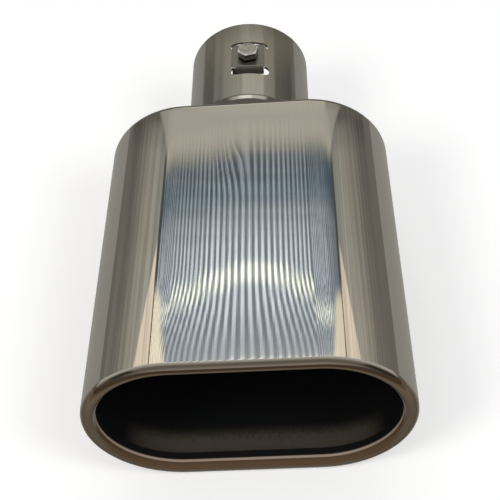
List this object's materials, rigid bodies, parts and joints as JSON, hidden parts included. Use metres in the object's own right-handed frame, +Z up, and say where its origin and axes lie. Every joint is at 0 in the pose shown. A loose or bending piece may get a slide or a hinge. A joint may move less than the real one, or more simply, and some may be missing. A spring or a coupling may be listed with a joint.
{
  "type": "exhaust tip",
  "caption": "Wide obround exhaust tip in polished sheet steel with a rolled-in lip, a flared rear collar and a round inlet neck that screws clamp on a tail pipe.",
  "frame": {"origin": "on the ground below the middle of the part's box, with the tip lying on its flat underside", "axes": "+Y along the pipe axis from the outlet mouth towards the open end of the inlet neck, +Z up, +X across the wide outlet"},
  "size_m": [0.144, 0.2382, 0.0836],
  "materials": {
    "polished_steel": "polished stainless sheet with fine lengthwise lines",
    "neck_steel": "satin-polished stainless tube",
    "fastener_steel": "plain stainless, slightly rough head"
  },
  "bodies": {
    "root": {"outlet_shell": "polished_steel", "rear_cap": "polished_steel", "inlet_neck": "neck_steel", "clamp_screw_top": "fastener_steel", "clamp_screw_right": "fastener_steel", "clamp_screw_left": "fastener_steel", "bridge_nut_top": "fastener_steel", "bridge_nut_right": "fastener_steel", "bridge_nut_left": "fastener_steel"}
  },
  "joints": []
}
